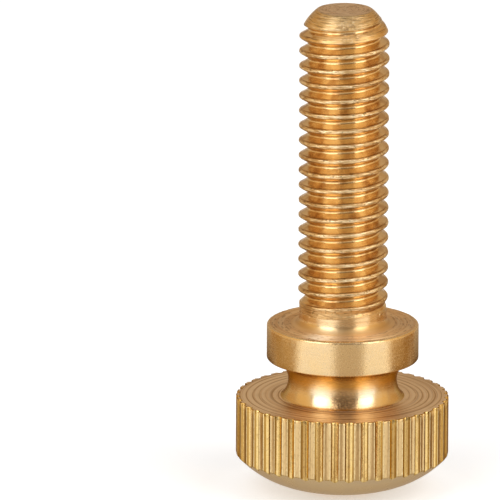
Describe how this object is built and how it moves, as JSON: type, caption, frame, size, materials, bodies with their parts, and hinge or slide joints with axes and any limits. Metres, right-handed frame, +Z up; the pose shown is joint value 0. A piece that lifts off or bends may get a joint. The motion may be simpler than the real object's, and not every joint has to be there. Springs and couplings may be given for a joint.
{
  "type": "thumb screw",
  "caption": "Brass thumb screw in one piece: metric thread with a rounded end, plain collar, waisted neck and a straight-knurled round head with a domed face.",
  "frame": {"origin": "on the surface that the screw stands on, under the middle of its dome, on the screw's own axis", "axes": "+Z up along the screw's axis, from its domed head to its threaded end; X and Y are level, and a tooth of the knurl faces -Y"},
  "size_m": [0.014, 0.014, 0.0322],
  "materials": {
    "brass": "bright turned"
  },
  "bodies": {
    "root": {"thumb_screw": "brass"}
  },
  "joints": []
}
